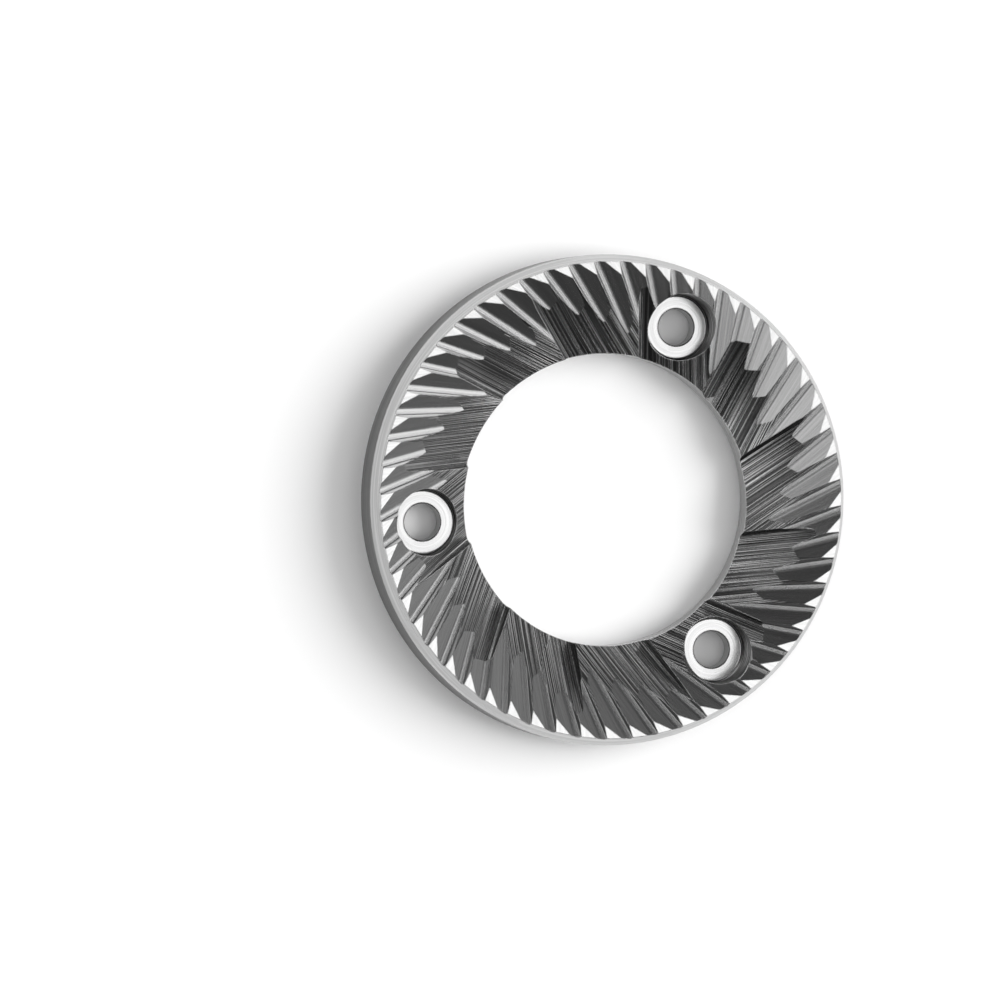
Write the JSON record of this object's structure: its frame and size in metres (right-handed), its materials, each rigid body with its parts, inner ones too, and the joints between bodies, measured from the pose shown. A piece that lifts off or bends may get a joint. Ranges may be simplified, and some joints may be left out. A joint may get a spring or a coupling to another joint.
{
  "type": "coffee grinder burr",
  "caption": "Flat steel grinding ring with a wide bore, sunk screw holes, coarse feed ramps and fine slanted teeth out to a bevelled rim.",
  "frame": {"origin": "centre of the bore on the flat back face", "axes": "+Z out of the toothed face along the bore axis, +X through one of the screw holes"},
  "size_m": [0.064, 0.064, 0.0075],
  "materials": {
    "ground_steel": "ground faces with fine grinding lines, brighter lands and cutting edges"
  },
  "bodies": {
    "root": {"burr": "ground_steel"}
  },
  "joints": []
}
